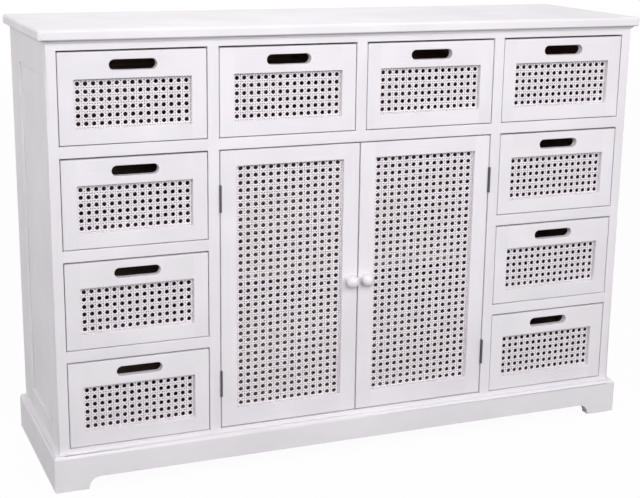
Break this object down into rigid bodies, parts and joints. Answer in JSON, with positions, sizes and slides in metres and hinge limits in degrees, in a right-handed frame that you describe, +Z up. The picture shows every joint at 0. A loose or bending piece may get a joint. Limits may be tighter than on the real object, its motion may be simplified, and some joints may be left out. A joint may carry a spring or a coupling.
{
  "type": "credenza",
  "caption": "Low painted sideboard with a column of cane-fronted drawers at each side, two drawers over a cane two-door cupboard, and a bracket-foot plinth.",
  "frame": {"origin": "on the floor, midway across the width and midway between the knob tips and the back", "axes": "+X to the right along the width, -Y out of the front where the drawers and doors open, +Z up"},
  "size_m": [1.146, 0.3482, 0.8],
  "materials": {
    "white_paint": "satin white brush-painted wood",
    "white_cane": "satin white painted cane webbing",
    "bare_wood": "unpainted pale wood and plywood",
    "steel": "zinc-plated steel",
    "dark_plastic": "matt"
  },
  "bodies": {
    "carcass": {"top_board": "white_paint", "top_moulding": "white_paint", "face_stiles": "white_paint", "face_rails": "white_paint", "left_side_frame": "white_paint", "right_side_frame": "white_paint", "side_panels": "white_paint", "partitions": "bare_wood", "cupboard_ceiling": "bare_wood", "base_board": "bare_wood", "shelf": "bare_wood", "shelf_pegs": "steel", "drawer_runners": "bare_wood", "back_panel": "bare_wood", "plinth_front": "white_paint", "plinth_sides": "white_paint", "plinth_back": "bare_wood", "hinge_frame_leaves": "steel", "hinge_pins": "steel", "magnetic_catches": "dark_plastic"},
    "left_door": {"left_door_frame": "white_paint", "left_door_cane": "white_cane", "left_door_knob": "white_paint", "left_door_hinge_leaves": "steel", "left_door_strike": "steel"},
    "right_door": {"right_door_frame": "white_paint", "right_door_cane": "white_cane", "right_door_knob": "white_paint", "right_door_hinge_leaves": "steel", "right_door_strike": "steel"},
    "left_drawer_1": {"left_drawer_1_front": "white_paint", "left_drawer_1_cane": "white_cane", "left_drawer_1_box": "bare_wood"},
    "left_drawer_2": {"left_drawer_2_front": "white_paint", "left_drawer_2_cane": "white_cane", "left_drawer_2_box": "bare_wood"},
    "left_drawer_3": {"left_drawer_3_front": "white_paint", "left_drawer_3_cane": "white_cane", "left_drawer_3_box": "bare_wood"},
    "left_drawer_4": {"left_drawer_4_front": "white_paint", "left_drawer_4_cane": "white_cane", "left_drawer_4_box": "bare_wood"},
    "right_drawer_1": {"right_drawer_1_front": "white_paint", "right_drawer_1_cane": "white_cane", "right_drawer_1_box": "bare_wood"},
    "right_drawer_2": {"right_drawer_2_front": "white_paint", "right_drawer_2_cane": "white_cane", "right_drawer_2_box": "bare_wood"},
    "right_drawer_3": {"right_drawer_3_front": "white_paint", "right_drawer_3_cane": "white_cane", "right_drawer_3_box": "bare_wood"},
    "right_drawer_4": {"right_drawer_4_front": "white_paint", "right_drawer_4_cane": "white_cane", "right_drawer_4_box": "bare_wood"},
    "middle_left_drawer": {"middle_left_drawer_front": "white_paint", "middle_left_drawer_cane": "white_cane", "middle_left_drawer_box": "bare_wood"},
    "middle_right_drawer": {"middle_right_drawer_front": "white_paint", "middle_right_drawer_cane": "white_cane", "middle_right_drawer_box": "bare_wood"}
  },
  "joints": [
    {"name": "left_door_hinge", "type": "hinge", "parent": "carcass", "child": "left_door", "pos_m": [-0.2655, -0.1531, 0.334], "axis": [0, 0, 1], "range_deg": [-110, 0]},
    {"name": "right_door_hinge", "type": "hinge", "parent": "carcass", "child": "right_door", "pos_m": [0.2655, -0.1531, 0.334], "axis": [0, 0, -1], "range_deg": [-110, 0]},
    {"name": "left_drawer_1_slide", "type": "slide", "parent": "carcass", "child": "left_drawer_1", "axis": [0, -1, 0], "range_m": [0, 0.24]},
    {"name": "left_drawer_2_slide", "type": "slide", "parent": "carcass", "child": "left_drawer_2", "axis": [0, -1, 0], "range_m": [0, 0.24]},
    {"name": "left_drawer_3_slide", "type": "slide", "parent": "carcass", "child": "left_drawer_3", "axis": [0, -1, 0], "range_m": [0, 0.24]},
    {"name": "left_drawer_4_slide", "type": "slide", "parent": "carcass", "child": "left_drawer_4", "axis": [0, -1, 0], "range_m": [0, 0.24]},
    {"name": "right_drawer_1_slide", "type": "slide", "parent": "carcass", "child": "right_drawer_1", "axis": [0, -1, 0], "range_m": [0, 0.24]},
    {"name": "right_drawer_2_slide", "type": "slide", "parent": "carcass", "child": "right_drawer_2", "axis": [0, -1, 0], "range_m": [0, 0.24]},
    {"name": "right_drawer_3_slide", "type": "slide", "parent": "carcass", "child": "right_drawer_3", "axis": [0, -1, 0], "range_m": [0, 0.24]},
    {"name": "right_drawer_4_slide", "type": "slide", "parent": "carcass", "child": "right_drawer_4", "axis": [0, -1, 0], "range_m": [0, 0.24]},
    {"name": "middle_left_drawer_slide", "type": "slide", "parent": "carcass", "child": "middle_left_drawer", "axis": [0, -1, 0], "range_m": [0, 0.24]},
    {"name": "middle_right_drawer_slide", "type": "slide", "parent": "carcass", "child": "middle_right_drawer", "axis": [0, -1, 0], "range_m": [0, 0.24]}
  ]
}
